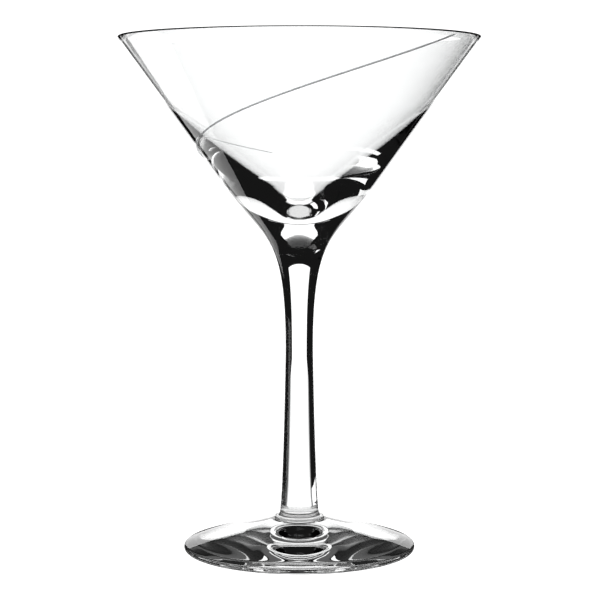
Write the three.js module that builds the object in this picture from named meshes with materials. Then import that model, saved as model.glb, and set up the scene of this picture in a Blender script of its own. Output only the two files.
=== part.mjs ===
// Martini glass: a hand-made stem glass in clear crystal with one fine clear
// glass thread trailed around the outside of its bowl.
//
// Millimetres, +Z up. The origin is the centre of the ring that the foot
// rests on. Every round piece is an outline in the (radius, height) plane,
// turned about the Z axis. The pieces meet face to face where the glass
// maker joined them: bowl on stem, stem on foot, thread on bowl.

import * as THREE from 'three';

// ---- whole glass ----
const rimHeight = 167.2;
const rimRadius = 58.4;
const footRadius = 37.9;

// ---- bowl ----
const lipRadius = 0.4;          // half the wall: the lip is fire-polished round
const coneHalfAngle = 35.75;    // degrees from the axis
const coneBottomHeight = 120;   // the straight cone ends here
const flareEndRadius = 18;      // the solid base swells from the stem up to here
const flareEndHeight = 111.5;
const flareEndAngle = 40.15;    // degrees from the axis
const flareHandles = [16.0, 10.5];
const bowlJointHeight = 84;     // the bowl's solid base sits on the stem here
const bowlJointRadius = 5.25;
const bowlJointAngle = 5.9;
const cavityWallEnd = 148;      // the wall starts to thicken here
const cavityWallHandle = 17.3;
const cavityTipRadius = 7;      // inside this the bottom of the cup is rounded
const cavityTipHeight = 113.25;
const cavityTipAngle = 58.7;
const cavityTipHandle = 13.7;

// ---- stem ----
const waistHeight = 65.9;
const waistRadius = 4.51;
const waistHandles = [7.4, 4.3];    // above and below the waist
const upperHandle = 4.8;
const ankleHeight = 13.6;           // the stem starts to spread here
const ankleRadius = 6.3;
const ankleAngle = 8;
const ankleHandle = 6.2;
const padRadius = 8.3;              // the small round pad that joins stem to foot
const padEdgeRadius = 0.55;
const padBaseHeight = 10;

// ---- foot ----
const footEdgeRadius = 1.06;
const footSlope = 20;               // degrees above level at the edge
const footHubRadius = 8.9;
const footHubSlope = 19;
const footHandles = [9.6, 7.7];
const restInnerRadius = 33.1;       // the flat ring that the glass stands on
const hollowHeight = 3.5;           // the underside is slightly hollow inside it
const hollowHandles = [16.6, 3.5];

// ---- trailed thread ----
const threadRadius = 0.25;
const threadGap = 0.05;
const threadStart = 54.5;           // degrees right of the front, at the lip
const threadTurn = 211;             // degrees covered, going left and down
const threadDropBelowRim = 0.9;
const threadFall = 0.334;           // millimetres per degree at the start
const threadFallEase = 0.00055;     // the fall eases off by this per degree squared

// ---- fineness ----
const turnSteps = 48;
const stemSteps = 32;
const curveSteps = 8;
const threadSides = 8;
const threadSteps = 80;

const radians = THREE.MathUtils.degToRad;

// A step of the given length, at an angle in degrees from the +Z axis.
function stepFrom(point, angle, length) {
  return new THREE.Vector2(
    point.x + length * Math.sin(radians(angle)),
    point.y + length * Math.cos(radians(angle)),
  );
}

// Where two tangents cross: up from one point, down from another.
function tangentsMeet(low, lowAngle, high, highAngle) {
  const rise = high.y - low.y;
  const reach = high.x - low.x;
  const lowTan = Math.tan(radians(lowAngle));
  const highTan = Math.tan(radians(highAngle));
  const y = low.y + (reach - rise * highTan) / (lowTan - highTan);
  return new THREE.Vector2(low.x + (y - low.y) * lowTan, y);
}

function turned(outline, steps) {
  const geometry = new THREE.LatheGeometry(outline.getPoints(curveSteps), steps);
  geometry.rotateX(Math.PI / 2);
  return geometry;
}

function clearGlass() {
  return new THREE.MeshStandardMaterial({
    color: 0xeef3f3,
    roughness: 0.02,
    metalness: 0,
    transparent: true,
    opacity: 0.35,
  });
}

// The lip is a half circle between the outer and inner faces of the cone.
const lipCentre = new THREE.Vector2(rimRadius - lipRadius, rimHeight - lipRadius);
const lipOuter = stepFrom(lipCentre, coneHalfAngle + 90, lipRadius);
const lipInner = stepFrom(lipCentre, coneHalfAngle - 90, lipRadius);

// Radius of the bowl's outer cone at a height.
function coneRadius(height) {
  return lipOuter.x - (lipOuter.y - height) * Math.tan(radians(coneHalfAngle));
}

function makeBowl() {
  const joint = new THREE.Vector2(bowlJointRadius, bowlJointHeight);
  const flareEnd = new THREE.Vector2(flareEndRadius, flareEndHeight);
  const coneBottom = new THREE.Vector2(coneRadius(coneBottomHeight), coneBottomHeight);
  const flareOut = stepFrom(joint, bowlJointAngle, flareHandles[0]);
  const flareIn = stepFrom(flareEnd, flareEndAngle, -flareHandles[1]);
  const shoulder = tangentsMeet(flareEnd, flareEndAngle, coneBottom, coneHalfAngle);
  const wallLength = (lipInner.y - cavityWallEnd) / Math.cos(radians(coneHalfAngle));
  const wallEnd = stepFrom(lipInner, coneHalfAngle, -wallLength);
  const wallOut = stepFrom(wallEnd, coneHalfAngle, -cavityWallHandle);
  const tipEdge = new THREE.Vector2(cavityTipRadius, cavityTipHeight);
  const tipIn = stepFrom(tipEdge, cavityTipAngle, cavityTipHandle);
  const tipFall = cavityTipRadius / 2 / Math.tan(radians(cavityTipAngle));
  const floorHeight = cavityTipHeight - tipFall;

  const outline = new THREE.Path();
  outline.moveTo(0, bowlJointHeight);
  outline.lineTo(joint.x, joint.y);
  outline.bezierCurveTo(flareOut.x, flareOut.y, flareIn.x, flareIn.y, flareEnd.x, flareEnd.y);
  outline.quadraticCurveTo(shoulder.x, shoulder.y, coneBottom.x, coneBottom.y);
  outline.lineTo(lipOuter.x, lipOuter.y);
  outline.absarc(
    lipCentre.x, lipCentre.y, lipRadius,
    radians(-coneHalfAngle), radians(180 - coneHalfAngle), false,
  );
  outline.lineTo(wallEnd.x, wallEnd.y);
  outline.bezierCurveTo(wallOut.x, wallOut.y, tipIn.x, tipIn.y, tipEdge.x, tipEdge.y);
  outline.quadraticCurveTo(cavityTipRadius / 2, floorHeight, 0, floorHeight);
  const bowl = new THREE.Mesh(turned(outline, turnSteps), clearGlass());
  bowl.name = 'bowl';
  return bowl;
}

function makeStem() {
  const pad = new THREE.Vector2(padRadius - padEdgeRadius, padBaseHeight + padEdgeRadius);
  const padTop = pad.y + padEdgeRadius;
  const ankle = new THREE.Vector2(ankleRadius, ankleHeight);
  const waist = new THREE.Vector2(waistRadius, waistHeight);
  const joint = new THREE.Vector2(bowlJointRadius, bowlJointHeight);
  const ankleOut = stepFrom(ankle, -ankleAngle, ankleHandle);
  const jointIn = stepFrom(joint, bowlJointAngle, -upperHandle);

  const outline = new THREE.Path();
  outline.moveTo(0, padBaseHeight);
  outline.lineTo(pad.x, padBaseHeight);
  outline.absarc(pad.x, pad.y, padEdgeRadius, radians(-90), radians(90), false);
  outline.quadraticCurveTo(ankleRadius, padTop, ankle.x, ankle.y);
  outline.bezierCurveTo(
    ankleOut.x, ankleOut.y,
    waist.x, waist.y - waistHandles[1],
    waist.x, waist.y,
  );
  outline.bezierCurveTo(
    waist.x, waist.y + waistHandles[0],
    jointIn.x, jointIn.y,
    joint.x, joint.y,
  );
  outline.lineTo(0, joint.y);
  const stem = new THREE.Mesh(turned(outline, stemSteps), clearGlass());
  stem.name = 'stem';
  return stem;
}

function makeFoot() {
  const edge = new THREE.Vector2(footRadius - footEdgeRadius, footEdgeRadius);
  const edgeTop = stepFrom(edge, footSlope, footEdgeRadius);
  const hub = new THREE.Vector2(footHubRadius, padBaseHeight);
  const edgeOut = stepFrom(edgeTop, footSlope - 90, footHandles[0]);
  const hubIn = stepFrom(hub, 90 + footHubSlope, footHandles[1]);

  const outline = new THREE.Path();
  outline.moveTo(0, hollowHeight);
  outline.bezierCurveTo(
    hollowHandles[0], hollowHeight,
    restInnerRadius - hollowHandles[1], 0,
    restInnerRadius, 0,
  );
  outline.lineTo(edge.x, 0);
  outline.absarc(edge.x, edge.y, footEdgeRadius, radians(-90), radians(90 - footSlope), false);
  outline.bezierCurveTo(edgeOut.x, edgeOut.y, hubIn.x, hubIn.y, hub.x, hub.y);
  outline.lineTo(0, hub.y);
  const foot = new THREE.Mesh(turned(outline, turnSteps), clearGlass());
  foot.name = 'foot';
  return foot;
}

// The thread lies on the outside of the cone: it starts at the lip, right of
// the front, and falls as it runs to the left and on round the back.
class ThreadLine extends THREE.Curve {
  getPoint(t, target = new THREE.Vector3()) {
    const turn = t * threadTurn;
    const height = rimHeight - threadDropBelowRim
      - threadFall * turn + threadFallEase * turn * turn;
    const angle = radians(threadStart - turn);
    const lift = threadRadius + threadGap;
    const radius = coneRadius(height) + lift * Math.cos(radians(coneHalfAngle));
    return target.set(
      radius * Math.sin(angle),
      -radius * Math.cos(angle),
      height - lift * Math.sin(radians(coneHalfAngle)),
    );
  }
}

function makeThread() {
  const section = new THREE.Shape();
  for (let side = 0; side < threadSides; side += 1) {
    const angle = (side / threadSides) * 2 * Math.PI;
    const x = threadRadius * Math.cos(angle);
    const y = threadRadius * Math.sin(angle);
    if (side === 0) {
      section.moveTo(x, y);
    } else {
      section.lineTo(x, y);
    }
  }
  section.closePath();
  const geometry = new THREE.ExtrudeGeometry(section, {
    steps: threadSteps,
    extrudePath: new ThreadLine(),
  });
  const thread = new THREE.Mesh(geometry, clearGlass());
  thread.name = 'thread';
  return thread;
}

const glass = new THREE.Group();
glass.add(makeFoot(), makeStem(), makeBowl(), makeThread());

export default glass;
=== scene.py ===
import math

import bmesh
import bpy
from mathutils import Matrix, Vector


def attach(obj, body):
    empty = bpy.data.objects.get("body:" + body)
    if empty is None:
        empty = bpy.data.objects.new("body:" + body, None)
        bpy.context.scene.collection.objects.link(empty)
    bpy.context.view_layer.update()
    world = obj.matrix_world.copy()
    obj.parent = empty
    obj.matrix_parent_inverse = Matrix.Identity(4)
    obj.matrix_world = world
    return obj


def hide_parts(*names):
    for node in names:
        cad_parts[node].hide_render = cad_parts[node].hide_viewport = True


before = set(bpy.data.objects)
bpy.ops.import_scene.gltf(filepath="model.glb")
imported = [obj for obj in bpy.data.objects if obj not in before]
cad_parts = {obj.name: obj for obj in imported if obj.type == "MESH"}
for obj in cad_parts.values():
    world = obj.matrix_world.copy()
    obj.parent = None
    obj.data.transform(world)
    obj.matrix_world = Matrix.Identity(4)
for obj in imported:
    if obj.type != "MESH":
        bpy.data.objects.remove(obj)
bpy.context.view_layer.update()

# Lengths in the piece dictionaries are millimetres; angles are degrees.
mm = 0.001

# Outlines are points of (radius, height), in millimetres.
def stepFrom(point, angle, length):
    turn = math.radians(angle)
    return (point[0] + length * math.sin(turn), point[1] + length * math.cos(turn))


def tangentsMeet(low, lowAngle, high, highAngle):
    lowTan = math.tan(math.radians(lowAngle))
    highTan = math.tan(math.radians(highAngle))
    rise = high[1] - low[1]
    reach = high[0] - low[0]
    height = low[1] + (reach - rise * highTan) / (lowTan - highTan)
    return (low[0] + (height - low[1]) * lowTan, height)


def straight(start, end, count):
    points = []
    for i in range(1, count + 1):
        t = i / count
        points.append((start[0] + (end[0] - start[0]) * t, start[1] + (end[1] - start[1]) * t))
    return points


def curved(corners, count):
    points = []
    for i in range(1, count + 1):
        t = i / count
        row = [Vector(corner) for corner in corners]
        while len(row) > 1:
            row = [row[k].lerp(row[k + 1], t) for k in range(len(row) - 1)]
        points.append((row[0].x, row[0].y))
    return points


def rounded(centre, radius, fromAngle, toAngle, count):
    points = []
    for i in range(1, count + 1):
        turn = math.radians(fromAngle + (toAngle - fromAngle) * i / count)
        points.append((centre[0] + radius * math.cos(turn), centre[1] + radius * math.sin(turn)))
    return points


bowlLook = {
    "rimHeight": 167.2,
    "rimRadius": 58.4,
    "lipRadius": 0.4,
    "coneAngle": 35.75,         # from the axis
    "coneBottom": 120.0,
    "flareEnd": (18.0, 111.5),
    "flareAngle": 40.15,
    "flareHandles": (16.0, 10.5),
    "joint": (5.25, 84.0),
    "jointAngle": 5.9,
    "cavityWallEnd": 148.0,
    "cavityWallHandle": 17.3,
    "cavityTip": (7.0, 113.25),
    "cavityTipAngle": 58.7,
    "cavityTipHandle": 13.7,
    "steps": 288,
    "rippleScale": 60.0,
    "cordScale": 200.0,
    "cordShare": 0.2,
    "bumpDepth": 2.0e-6,         # metres
}


def bowlOutline(look):
    cone = look["coneAngle"]
    lip = look["lipRadius"]
    centre = (look["rimRadius"] - lip, look["rimHeight"] - lip)
    lipOuter = stepFrom(centre, cone + 90, lip)
    lipInner = stepFrom(centre, cone - 90, lip)
    slope = math.tan(math.radians(cone))
    coneBottom = (lipOuter[0] - (lipOuter[1] - look["coneBottom"]) * slope, look["coneBottom"])
    joint = look["joint"]
    flareEnd = look["flareEnd"]
    flareOut = stepFrom(joint, look["jointAngle"], look["flareHandles"][0])
    flareIn = stepFrom(flareEnd, look["flareAngle"], -look["flareHandles"][1])
    shoulder = tangentsMeet(flareEnd, look["flareAngle"], coneBottom, cone)
    wallLength = (lipInner[1] - look["cavityWallEnd"]) / math.cos(math.radians(cone))
    wallEnd = stepFrom(lipInner, cone, -wallLength)
    wallOut = stepFrom(wallEnd, cone, -look["cavityWallHandle"])
    tip = look["cavityTip"]
    tipIn = stepFrom(tip, look["cavityTipAngle"], look["cavityTipHandle"])
    floorHeight = tip[1] - tip[0] / 2 / math.tan(math.radians(look["cavityTipAngle"]))
    points = [(0, joint[1]), joint]
    points += curved([joint, flareOut, flareIn, flareEnd], 56)
    points += curved([flareEnd, shoulder, coneBottom], 14)
    points += straight(coneBottom, lipOuter, 30)
    points += rounded(centre, lip, -cone, 180 - cone, 14)
    points += straight(lipInner, wallEnd, 10)
    points += curved([wallEnd, wallOut, tipIn, tip], 64)
    points += curved([tip, (tip[0] / 2, floorHeight), (0, floorHeight)], 20)
    return points


stemLook = {
    "waist": (4.51, 65.9),
    "waistHandles": (7.4, 4.3),
    "jointHandle": 4.8,
    "ankle": (6.3, 13.6),
    "ankleAngle": 8.0,
    "ankleHandle": 6.2,
    "padRadius": 8.3,
    "padEdge": 0.55,
    "padBase": 10.0,
    "steps": 192,
    "rippleScale": 90.0,
    "cordScale": 260.0,
    "cordShare": 0.2,
    "bumpDepth": 5.0e-6,         # metres
}


def stemOutline(look, joint, jointAngle):
    edge = look["padEdge"]
    padCentre = (look["padRadius"] - edge, look["padBase"] + edge)
    padTop = (padCentre[0], padCentre[1] + edge)
    ankle = look["ankle"]
    waist = look["waist"]
    ankleOut = stepFrom(ankle, -look["ankleAngle"], look["ankleHandle"])
    jointIn = stepFrom(joint, jointAngle, -look["jointHandle"])
    waistAbove = (waist[0], waist[1] + look["waistHandles"][0])
    waistBelow = (waist[0], waist[1] - look["waistHandles"][1])
    points = [(0, look["padBase"]), (padCentre[0], look["padBase"])]
    points += rounded(padCentre, edge, -90, 90, 14)
    points += curved([padTop, (ankle[0], padTop[1]), ankle], 14)
    points += curved([ankle, ankleOut, waistBelow, waist], 60)
    points += curved([waist, waistAbove, jointIn, joint], 36)
    points += [(0, joint[1])]
    return points


footLook = {
    "radius": 37.9,
    "edgeRadius": 1.06,
    "slope": 20.0,              # above level at the edge
    "hub": (8.9, 10.0),
    "hubSlope": 19.0,
    "handles": (9.6, 7.7),
    "restInner": 33.1,
    "hollow": 3.5,
    "hollowHandles": (16.6, 3.5),
    "steps": 288,
    "rippleScale": 150.0,
    "cordScale": 300.0,
    "cordShare": 0.1,
    "bumpDepth": 1.0e-5,         # metres
}


def footOutline(look, padInner):
    edge = look["edgeRadius"]
    centre = (look["radius"] - edge, edge)
    edgeTop = stepFrom(centre, look["slope"], edge)
    hub = look["hub"]
    edgeOut = stepFrom(edgeTop, look["slope"] - 90, look["handles"][0])
    hubIn = stepFrom(hub, 90 + look["hubSlope"], look["handles"][1])
    ring = look["restInner"]
    hollow = look["hollow"]
    first, second = look["hollowHandles"]
    points = [(0, hollow)]
    points += curved([(0, hollow), (first, hollow), (ring - second, 0), (ring, 0)], 60)
    points += straight((ring, 0), (centre[0], 0), 4)
    points += rounded(centre, edge, -90, 90 - look["slope"], 16)
    points += curved([edgeTop, edgeOut, hubIn, hub], 56)
    points += [(padInner, hub[1]), (0, hub[1])]
    return points


def addPiece(name, mesh, materials):
    piece = bpy.data.objects.new(name, mesh)
    bpy.context.scene.collection.objects.link(piece)
    for material in materials:
        mesh.materials.append(material)
    return piece


# Turns an outline that starts and ends on the axis. Faces inside a fused joint take the second slot.
def turnedMesh(name, outline, steps, jointHeight=None, jointRadius=0.0):
    bm = bmesh.new()
    rings = []
    for radius, height in outline:
        if radius < 1e-6:
            rings.append([bm.verts.new((0, 0, height * mm))])
            continue
        ring = []
        for i in range(steps):
            turn = 2 * math.pi * i / steps
            across = radius * mm * math.cos(turn)
            along = radius * mm * math.sin(turn)
            ring.append(bm.verts.new((across, along, height * mm)))
        rings.append(ring)
    for low, high in zip(rings, rings[1:]):
        for i in range(steps):
            k = (i + 1) % steps
            if len(low) == 1:
                corners = (low[0], high[k], high[i])
            elif len(high) == 1:
                corners = (low[i], low[k], high[0])
            else:
                corners = (low[i], low[k], high[k], high[i])
            bm.faces.new(corners)
    bmesh.ops.recalc_face_normals(bm, faces=bm.faces)
    for face in bm.faces:
        face.smooth = True
        if jointHeight is None:
            continue
        level = all(abs(v.co.z - jointHeight * mm) < 1e-7 for v in face.verts)
        inside = max(v.co.xy.length for v in face.verts) < jointRadius * mm + 1e-7
        if level and inside:
            face.material_index = 1
            face.smooth = False
    for bend in bm.edges:
        if len(bend.link_faces) == 2 and bend.calc_face_angle() > math.radians(38):
            bend.smooth = False
    mesh = bpy.data.meshes.new(name)
    bm.to_mesh(mesh)
    bm.free()
    return mesh


threadLook = {
    "radius": 0.25,
    "gap": 0.05,
    "start": 54.5,              # degrees right of the front
    "turn": 211.0,
    "dropBelowRim": 0.9,
    "fall": 0.334,              # per degree
    "fallEase": 0.00055,
    "sides": 12,
    "steps": 420,
    "rippleScale": 200.0,
    "cordScale": 400.0,
    "cordShare": 0.5,
    "bumpDepth": 1.0e-6,         # metres
}


# A thin round rod along a line on the outside of the cone.
def threadMesh(name, look, bowl):
    cone = math.radians(bowl["coneAngle"])
    lip = bowl["lipRadius"]
    outer = stepFrom((bowl["rimRadius"] - lip, bowl["rimHeight"] - lip), bowl["coneAngle"] + 90, lip)
    lift = look["radius"] + look["gap"]

    def pathPoint(t):
        turn = t * look["turn"]
        drop = look["dropBelowRim"] + look["fall"] * turn - look["fallEase"] * turn * turn
        height = bowl["rimHeight"] - drop
        wall = outer[0] - (outer[1] - height) * math.tan(cone)
        angle = math.radians(look["start"] - turn)
        radius = wall + lift * math.cos(cone)
        return Vector((radius * math.sin(angle), -radius * math.cos(angle), height - lift * math.sin(cone)))

    bm = bmesh.new()
    rings = []
    for i in range(look["steps"] + 1):
        t = i / look["steps"]
        here = pathPoint(t)
        along = (pathPoint(min(t + 1e-3, 1)) - pathPoint(max(t - 1e-3, 0))).normalized()
        out = Vector((here.x, here.y, 0)).normalized()
        side = along.cross(out).normalized()
        out = side.cross(along)
        # both ends are drawn out to a point
        taper = min(1.0, t / 0.012, (1 - t) / 0.03)
        size = look["radius"] * max(0.12, math.sqrt(max(0.0, 1 - (1 - taper) ** 2)))
        ring = []
        for k in range(look["sides"]):
            turn = 2 * math.pi * k / look["sides"]
            point = here + (out * math.cos(turn) + side * math.sin(turn)) * size
            ring.append(bm.verts.new(point * mm))
        rings.append(ring)
    for low, high in zip(rings, rings[1:]):
        for k in range(look["sides"]):
            j = (k + 1) % look["sides"]
            bm.faces.new((low[k], low[j], high[j], high[k]))
    bm.faces.new(rings[0])
    bm.faces.new(rings[-1])
    bmesh.ops.recalc_face_normals(bm, faces=bm.faces)
    for face in bm.faces:
        face.smooth = len(face.verts) == 4
    mesh = bpy.data.meshes.new(name)
    bm.to_mesh(mesh)
    bm.free()
    return mesh


glassLook = {
    "ior": 1.52,
    "clear": (0.995, 0.998, 0.998),
    "faint": (0.985, 0.992, 0.992),
    "threadClear": (0.60, 0.61, 0.62),
    "threadFaint": (0.42, 0.43, 0.44),
}


# Hand-made glass: a slow ripple, fine cords round the axis, and a faint change of tint.
def handmadeGlass():
    group = bpy.data.node_groups.new("handmadeGlass", "ShaderNodeTree")
    face = group.interface
    for label, value in (("Ripple Scale", 90.0), ("Cord Scale", 240.0), ("Cord Share", 0.3)):
        socket = face.new_socket(name=label, in_out="INPUT", socket_type="NodeSocketFloat")
        socket.default_value = value
    for label in ("Clear Tint", "Faint Tint"):
        face.new_socket(name=label, in_out="INPUT", socket_type="NodeSocketColor")
    face.new_socket(name="Height", in_out="OUTPUT", socket_type="NodeSocketFloat")
    face.new_socket(name="Tint", in_out="OUTPUT", socket_type="NodeSocketColor")
    nodes = group.nodes
    links = group.links
    ins = nodes.new("NodeGroupInput")
    outs = nodes.new("NodeGroupOutput")
    place = nodes.new("ShaderNodeTexCoord")
    ripple = nodes.new("ShaderNodeTexNoise")
    ripple.inputs["Detail"].default_value = 1.0
    links.new(place.outputs["Object"], ripple.inputs["Vector"])
    links.new(ins.outputs["Ripple Scale"], ripple.inputs["Scale"])
    # cords lie level, so height counts for more than the way round
    squeeze = nodes.new("ShaderNodeMapping")
    squeeze.inputs["Scale"].default_value = (0.15, 0.15, 1.0)
    links.new(place.outputs["Object"], squeeze.inputs["Vector"])
    cords = nodes.new("ShaderNodeTexNoise")
    cords.inputs["Detail"].default_value = 0.0
    links.new(squeeze.outputs["Vector"], cords.inputs["Vector"])
    links.new(ins.outputs["Cord Scale"], cords.inputs["Scale"])
    height = nodes.new("ShaderNodeMix")
    links.new(ins.outputs["Cord Share"], height.inputs["Factor"])
    links.new(ripple.outputs["Fac"], height.inputs["A"])
    links.new(cords.outputs["Fac"], height.inputs["B"])
    tint = nodes.new("ShaderNodeMix")
    tint.data_type = "RGBA"
    links.new(ripple.outputs["Fac"], tint.inputs["Factor"])
    links.new(ins.outputs["Clear Tint"], tint.inputs[6])
    links.new(ins.outputs["Faint Tint"], tint.inputs[7])
    links.new(height.outputs["Result"], outs.inputs["Height"])
    links.new(tint.outputs[2], outs.inputs["Tint"])
    return group


def glassMaterial(name, group, look, clear, faint):
    material = bpy.data.materials.new(name)
    material.use_nodes = True
    nodes = material.node_tree.nodes
    links = material.node_tree.links
    shader = nodes["Principled BSDF"]
    shader.inputs["Roughness"].default_value = 0.0
    shader.inputs["Metallic"].default_value = 0.0
    shader.inputs["IOR"].default_value = glassLook["ior"]
    shader.inputs["Transmission Weight"].default_value = 1.0
    surface = nodes.new("ShaderNodeGroup")
    surface.node_tree = group
    surface.inputs["Ripple Scale"].default_value = look["rippleScale"]
    surface.inputs["Cord Scale"].default_value = look["cordScale"]
    surface.inputs["Cord Share"].default_value = look["cordShare"]
    surface.inputs["Clear Tint"].default_value = (*clear, 1)
    surface.inputs["Faint Tint"].default_value = (*faint, 1)
    bump = nodes.new("ShaderNodeBump")
    bump.inputs["Strength"].default_value = 1.0
    bump.inputs["Distance"].default_value = look["bumpDepth"]
    links.new(surface.outputs["Height"], bump.inputs["Height"])
    links.new(bump.outputs["Normal"], shader.inputs["Normal"])
    links.new(surface.outputs["Tint"], shader.inputs["Base Color"])
    return material


# Inside a hot join there is no surface, so light goes straight on.
def fusedMaterial():
    material = bpy.data.materials.new("fusedJoin")
    material.use_nodes = True
    nodes = material.node_tree.nodes
    nodes.remove(nodes["Principled BSDF"])
    clear = nodes.new("ShaderNodeBsdfTransparent")
    clear.inputs["Color"].default_value = (1, 1, 1, 1)
    material.node_tree.links.new(clear.outputs["BSDF"], nodes["Material Output"].inputs["Surface"])
    return material


studioLook = {
    "white": 1.35,
    "dark": 0.008,
    "openAngle": 22.5,          # the white ground opens behind the glass by this much either side
    "softAngle": 9.0,
    # painted shade: the ground to the sides of the opening glows only this much
    "sideShade": 0.015,
    "underWhite": 0.85,         # the ground right under the foot, out to where it starts to fall off
    # painted shadow: the grey the ground under the foot falls to, out to its edge
    "underShade": 0.13,
    "underFall": (0.023, 0.029),
    "underEnd": 0.041,
    "underSides": 96,
    "cardReach": 0.17,          # half the width between the two dark side cards
    "cardRun": (0.27, 0.41),    # how far behind the glass they start and end
    "cardTop": 2.5,
    "backDistance": 1.2,
    "backRun": (-0.01, 0.41),   # lowest and highest edge of the backdrop
    "floorReach": 6.0,
    "floorDrop": 0.0004,
    "groundDrop": 0.0002,
    "underDrop": 0.0001,
    # white panels in the air: middle and half width round, lowest and highest elevation;
    # each faces one side view, and from elsewhere the air behind the glass is dark
    "panels": (
        (-90.0, 12.0, -9.0, 3.5),
        (-45.0, 20.0, -38.0, -15.0),
        (135.0, 18.0, -28.0, -5.0),
    ),
}


# The ground that the glass stands on, a glowing card seen only through the glass: white behind it, dark to
# its sides as painted shade, and grey under the foot as a painted shadow.
def groundMaterial(look):
    material = bpy.data.materials.new("studioGround")
    material.use_nodes = True
    nodes = material.node_tree.nodes
    links = material.node_tree.links
    nodes.remove(nodes["Principled BSDF"])
    place = nodes.new("ShaderNodeTexCoord")
    apart = nodes.new("ShaderNodeSeparateXYZ")
    links.new(place.outputs["Object"], apart.inputs["Vector"])
    wide = nodes.new("ShaderNodeMath")
    wide.operation = "ABSOLUTE"
    links.new(apart.outputs["X"], wide.inputs[0])
    angle = nodes.new("ShaderNodeMath")
    angle.operation = "ARCTAN2"
    links.new(wide.outputs[0], angle.inputs[0])
    links.new(apart.outputs["Y"], angle.inputs[1])
    sweep = nodes.new("ShaderNodeMapRange")
    sweep.interpolation_type = "SMOOTHSTEP"
    sweep.inputs["From Min"].default_value = math.radians(look["openAngle"])
    sweep.inputs["From Max"].default_value = math.radians(look["openAngle"] + look["softAngle"])
    sweep.inputs["To Min"].default_value = look["white"]
    sweep.inputs["To Max"].default_value = look["sideShade"]
    links.new(angle.outputs[0], sweep.inputs["Value"])
    far = nodes.new("ShaderNodeVectorMath")
    far.operation = "LENGTH"
    links.new(place.outputs["Object"], far.inputs[0])
    under = nodes.new("ShaderNodeMapRange")
    under.interpolation_type = "SMOOTHSTEP"
    under.inputs["From Min"].default_value = look["underFall"][0]
    under.inputs["From Max"].default_value = look["underFall"][1]
    under.inputs["To Min"].default_value = look["underWhite"]
    under.inputs["To Max"].default_value = look["underShade"]
    links.new(far.outputs["Value"], under.inputs["Value"])
    near = nodes.new("ShaderNodeMath")
    near.operation = "LESS_THAN"
    near.inputs[1].default_value = look["underEnd"]
    links.new(far.outputs["Value"], near.inputs[0])
    strength = nodes.new("ShaderNodeMix")
    links.new(near.outputs[0], strength.inputs["Factor"])
    links.new(sweep.outputs["Result"], strength.inputs["A"])
    links.new(under.outputs["Result"], strength.inputs["B"])
    glow = nodes.new("ShaderNodeEmission")
    glow.inputs["Color"].default_value = (1, 1, 1, 1)
    links.new(strength.outputs["Result"], glow.inputs["Strength"])
    links.new(glow.outputs["Emission"], nodes["Material Output"].inputs["Surface"])
    return material


def plainLight(name, strength):
    material = bpy.data.materials.new(name)
    material.use_nodes = True
    nodes = material.node_tree.nodes
    nodes.remove(nodes["Principled BSDF"])
    glow = nodes.new("ShaderNodeEmission")
    glow.inputs["Color"].default_value = (1, 1, 1, 1)
    glow.inputs["Strength"].default_value = strength
    material.node_tree.links.new(glow.outputs["Emission"], nodes["Material Output"].inputs["Surface"])
    return material


surfaceGroup = handmadeGlass()
clear = glassLook["clear"]
faint = glassLook["faint"]
bowlGlass = glassMaterial("bowlGlass", surfaceGroup, bowlLook, clear, faint)
stemGlass = glassMaterial("stemGlass", surfaceGroup, stemLook, clear, faint)
footGlass = glassMaterial("footGlass", surfaceGroup, footLook, clear, faint)
clear = glassLook["threadClear"]
faint = glassLook["threadFaint"]
threadGlass = glassMaterial("threadGlass", surfaceGroup, threadLook, clear, faint)
fusedJoin = fusedMaterial()

joint = bowlLook["joint"]
padInner = stemLook["padRadius"] - stemLook["padEdge"]

bowlShape = turnedMesh("crystalBowl", bowlOutline(bowlLook), bowlLook["steps"], joint[1], joint[0])
bowl = addPiece("crystalBowl", bowlShape, [bowlGlass, fusedJoin])
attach(bowl, "root")
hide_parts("bowl")

stemLine = stemOutline(stemLook, joint, bowlLook["jointAngle"])
stemShape = turnedMesh("crystalStem", stemLine, stemLook["steps"], joint[1], joint[0])
for face in stemShape.polygons:
    if abs(face.center.z - stemLook["padBase"] * mm) < 1e-7 and abs(face.normal.z) > 0.99:
        face.material_index = 1
stem = addPiece("crystalStem", stemShape, [stemGlass, fusedJoin])
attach(stem, "root")
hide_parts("stem")

footLine = footOutline(footLook, padInner)
footShape = turnedMesh("crystalFoot", footLine, footLook["steps"], footLook["hub"][1], padInner)
foot = addPiece("crystalFoot", footShape, [footGlass, fusedJoin])
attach(foot, "root")
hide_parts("foot")

thread = addPiece("glassThread", threadMesh("glassThread", threadLook, bowlLook), [threadGlass])
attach(thread, "root")
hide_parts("thread")
print("glass built:", sum(len(p.data.polygons) for p in (bowl, stem, foot, thread)), "faces")


cameraLook = {
    "lens": 107.91,
    "sensor": 36.0,
    "place": (0.00022, -0.58419, 0.13386),
    "tilt": 0.0884,             # radians below level
}

cameraData = bpy.data.cameras.new("camera")
cameraData.lens = cameraLook["lens"]
cameraData.sensor_width = cameraLook["sensor"]
cameraData.clip_start = 0.01
cameraData.clip_end = 50.0
camera = bpy.data.objects.new("camera", cameraData)
bpy.context.scene.collection.objects.link(camera)
camera.location = cameraLook["place"]
camera.rotation_euler = (math.pi / 2 - cameraLook["tilt"], 0, 0)
bpy.context.scene.camera = camera


def addCard(name, corners, material):
    mesh = bpy.data.meshes.new(name)
    mesh.from_pydata(corners, [], [tuple(range(len(corners)))])
    card = addPiece(name, mesh, [material])
    return card
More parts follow.
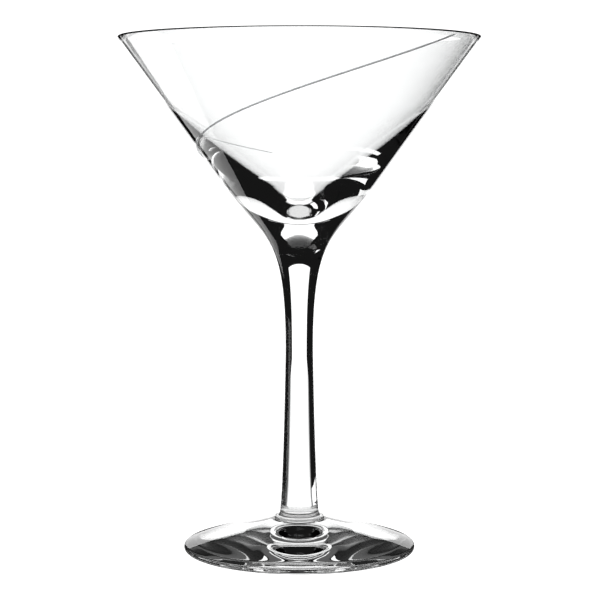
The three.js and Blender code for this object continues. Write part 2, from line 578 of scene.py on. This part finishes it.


# White floor and backdrop, a dark card at each edge of the opening, and a patterned ground for bent light,
# with painted shade to its sides and a painted shadow under the foot.
def buildStudio(look):
    white = plainLight("whiteLight", look["white"])
    dark = plainLight("darkCard", look["dark"])
    wide = look["floorReach"]
    low = -look["floorDrop"]
    corners = [(-wide, -wide, low), (wide, -wide, low), (wide, wide, low), (-wide, wide, low)]
    floor = addCard("floor", corners, white)
    floor.visible_transmission = False
    floor.visible_glossy = False
    back = look["backDistance"]
    bottom, top = look["backRun"]
    half = back * math.tan(math.radians(look["openAngle"]))
    corners = [(-half, back, bottom), (half, back, bottom), (half, back, top), (-half, back, top)]
    addCard("backdrop", corners, white)
    cards = []
    start, end = look["cardRun"]
    for side, label in ((-1, "leftCard"), (1, "rightCard")):
        x = side * look["cardReach"]
        corners = [(x, start, 0), (x, end, 0), (x, end, look["cardTop"]), (x, start, look["cardTop"])]
        cards.append(addCard(label, corners, dark))
    ground = groundMaterial(look)
    half = back * math.tan(math.radians(look["openAngle"] + look["softAngle"]))
    low = -look["groundDrop"]
    cards.append(addCard("ground", [(0, 0, low), (half, back, low), (-half, back, low)], ground))
    # a disc of the same ground under the foot, which carries the painted shadow
    corners = []
    for i in range(look["underSides"]):
        turn = 2 * math.pi * i / look["underSides"]
        across = look["underEnd"] * math.cos(turn)
        along = look["underEnd"] * math.sin(turn)
        corners.append((across, along, -look["underDrop"]))
    cards.append(addCard("underFoot", corners, ground))
    for card in cards:
        card.visible_camera = False
        card.visible_shadow = False


# The air is white to the camera. To light from the glass it is dark, apart from the white panels.
def buildAir(look):
    world = bpy.data.worlds.new("studioAir")
    world.use_nodes = True
    bpy.context.scene.world = world
    nodes = world.node_tree.nodes
    links = world.node_tree.links

    def mathNode(kind, first, second):
        node = nodes.new("ShaderNodeMath")
        node.operation = kind
        for socket, value in zip(node.inputs, (first, second)):
            if isinstance(value, (int, float)):
                socket.default_value = value
            else:
                links.new(value, socket)
        return node.outputs[0]

    place = nodes.new("ShaderNodeTexCoord")
    apart = nodes.new("ShaderNodeSeparateXYZ")
    links.new(place.outputs["Generated"], apart.inputs["Vector"])
    level = nodes.new("ShaderNodeVectorMath")
    level.operation = "MULTIPLY"
    level.inputs[1].default_value = (1, 1, 0)
    links.new(place.outputs["Generated"], level.inputs[0])
    compass = nodes.new("ShaderNodeVectorMath")
    compass.operation = "NORMALIZE"
    links.new(level.outputs["Vector"], compass.inputs[0])
    total = look["dark"]
    for middle, width, lowest, highest in look["panels"]:
        aim = nodes.new("ShaderNodeVectorMath")
        aim.operation = "DOT_PRODUCT"
        aim.inputs[1].default_value = (math.sin(math.radians(middle)), math.cos(math.radians(middle)), 0)
        links.new(compass.outputs["Vector"], aim.inputs[0])
        inside = mathNode("GREATER_THAN", aim.outputs["Value"], math.cos(math.radians(width)))
        above = mathNode("GREATER_THAN", apart.outputs["Z"], math.sin(math.radians(lowest)))
        below = mathNode("LESS_THAN", apart.outputs["Z"], math.sin(math.radians(highest)))
        panel = mathNode("MULTIPLY", mathNode("MULTIPLY", inside, above), below)
        total = mathNode("MAXIMUM", total, mathNode("MULTIPLY", panel, look["white"]))
    rays = nodes.new("ShaderNodeLightPath")
    shade = nodes.new("ShaderNodeMix")
    links.new(rays.outputs["Is Camera Ray"], shade.inputs["Factor"])
    links.new(total, shade.inputs["A"])
    shade.inputs["B"].default_value = look["white"]
    links.new(shade.outputs["Result"], nodes["Background"].inputs["Strength"])
    nodes["Background"].inputs["Color"].default_value = (1, 1, 1, 1)


buildStudio(studioLook)
buildAir(studioLook)

settings = bpy.context.scene
settings.view_settings.view_transform = "Standard"
settings.view_settings.look = "None"
settings.cycles.max_bounces = 32
settings.cycles.transmission_bounces = 32
settings.cycles.glossy_bounces = 16
settings.cycles.transparent_max_bounces = 32
settings.cycles.sample_clamp_indirect = 0.0
settings.cycles.blur_glossy = 0.0
print("studio built")
